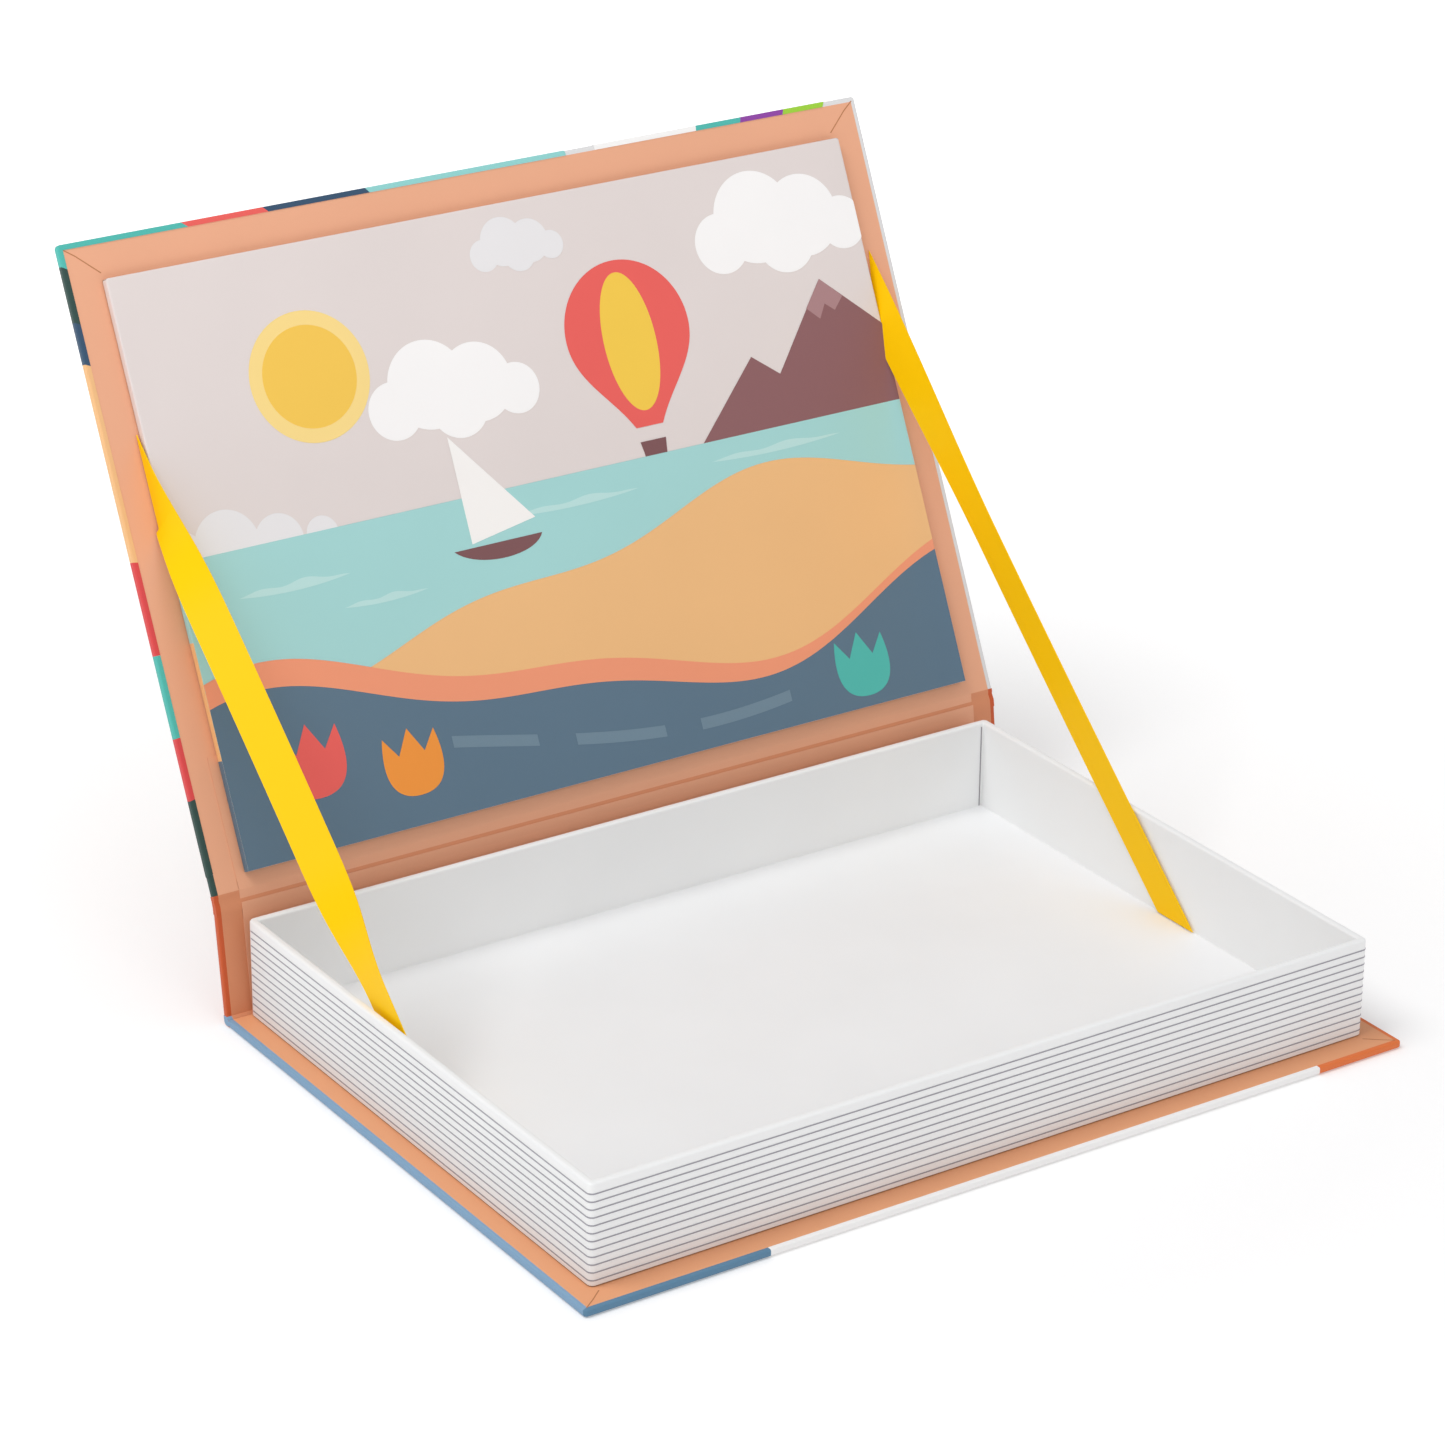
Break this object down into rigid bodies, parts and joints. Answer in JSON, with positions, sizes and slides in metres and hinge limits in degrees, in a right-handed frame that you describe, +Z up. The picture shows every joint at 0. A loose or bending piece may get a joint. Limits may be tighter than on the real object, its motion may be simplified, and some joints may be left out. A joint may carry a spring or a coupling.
{
  "type": "magnetic puzzle book",
  "caption": "Book-shaped card box: hard cover that opens on ribbon stays, shallow tray, and a steel-backed picture board for magnetic pieces inside the front cover.",
  "frame": {"origin": "centre of the back cover's outer face, which lies on the table", "axes": "+X along the spine, +Y from the front edge to the spine, +Z up, the cover open on its ribbon stays"},
  "size_m": [0.2551, 0.2604, 0.1947],
  "materials": {
    "greyboard": "matte grey bookbinding board",
    "page_line_ink": "matte grey printed line",
    "white_paper": "matte laminated white paper",
    "peach_paper": "matte printed peach paper",
    "satin_ribbon": "satin woven ribbon",
    "steel_sheet": "thin bright steel sheet",
    "picture_paper": "matte laminated printed paper",
    "picture_ink": "matte printed colour",
    "cover_ink": "matte printed colour",
    "printed_wrap": "matte laminated printed paper"
  },
  "bodies": {
    "tray": {"back_cover_board": "greyboard", "back_cover_lining": "peach_paper", "back_cover_wrap": "printed_wrap", "left_ribbon": "satin_ribbon", "page_line_1": "page_line_ink", "page_line_10": "page_line_ink", "page_line_11": "page_line_ink", "page_line_12": "page_line_ink", "page_line_2": "page_line_ink", "page_line_3": "page_line_ink", "page_line_4": "page_line_ink", "page_line_5": "page_line_ink", "page_line_6": "page_line_ink", "page_line_7": "page_line_ink", "page_line_8": "page_line_ink", "page_line_9": "page_line_ink", "right_ribbon": "satin_ribbon", "tray_board": "greyboard", "tray_floor_liner": "white_paper", "tray_wrap": "white_paper"},
    "spine": {"spine_board": "greyboard", "spine_lining": "peach_paper", "spine_wrap": "printed_wrap"},
    "front_cover": {"cover_ray_aqua": "cover_ink", "cover_ray_coral": "cover_ink", "cover_ray_dark_green_high": "cover_ink", "cover_ray_dark_green_low": "cover_ink", "cover_ray_green": "cover_ink", "cover_ray_navy_side": "cover_ink", "cover_ray_navy_top": "cover_ink", "cover_ray_purple": "cover_ink", "cover_ray_red_high": "cover_ink", "cover_ray_red_low": "cover_ink", "cover_ray_sand": "cover_ink", "cover_ray_teal_corner": "cover_ink", "cover_ray_teal_low": "cover_ink", "cover_ray_teal_top": "cover_ink", "cover_ray_white": "cover_ink", "front_cover_board": "greyboard", "front_cover_lining": "peach_paper", "front_cover_wrap": "printed_wrap", "picture_core": "greyboard", "picture_face_paper": "picture_paper", "picture_steel_sheet": "steel_sheet", "print_balloon": "picture_ink", "print_balloon_gore": "picture_ink", "print_basket": "picture_ink", "print_cloud_left": "picture_ink", "print_cloud_right": "picture_ink", "print_coral_rim": "picture_ink", "print_lake": "picture_ink", "print_mountains": "picture_ink", "print_sail": "picture_ink", "print_sand_hill": "picture_ink", "print_slate_hill": "picture_ink", "print_sun": "picture_ink", "print_tulip_left": "picture_ink", "print_tulip_middle": "picture_ink", "print_tulip_right": "picture_ink"}
  },
  "joints": [
    {"name": "spine_fold", "type": "hinge", "parent": "tray", "child": "spine", "pos_m": [0, 0.09, 0], "axis": [1, 0, 0], "range_deg": [0, 7.5]},
    {"name": "cover_fold", "type": "hinge", "parent": "spine", "child": "front_cover", "pos_m": [0, 0.09435, 0.03302], "axis": [1, 0, 0], "range_deg": [0, 107.8], "deforming": ["left_ribbon", "right_ribbon"]}
  ],
  "couplings": [
    {"joint": "spine_fold", "follows": "cover_fold", "ratio": 0.069573}
  ]
}
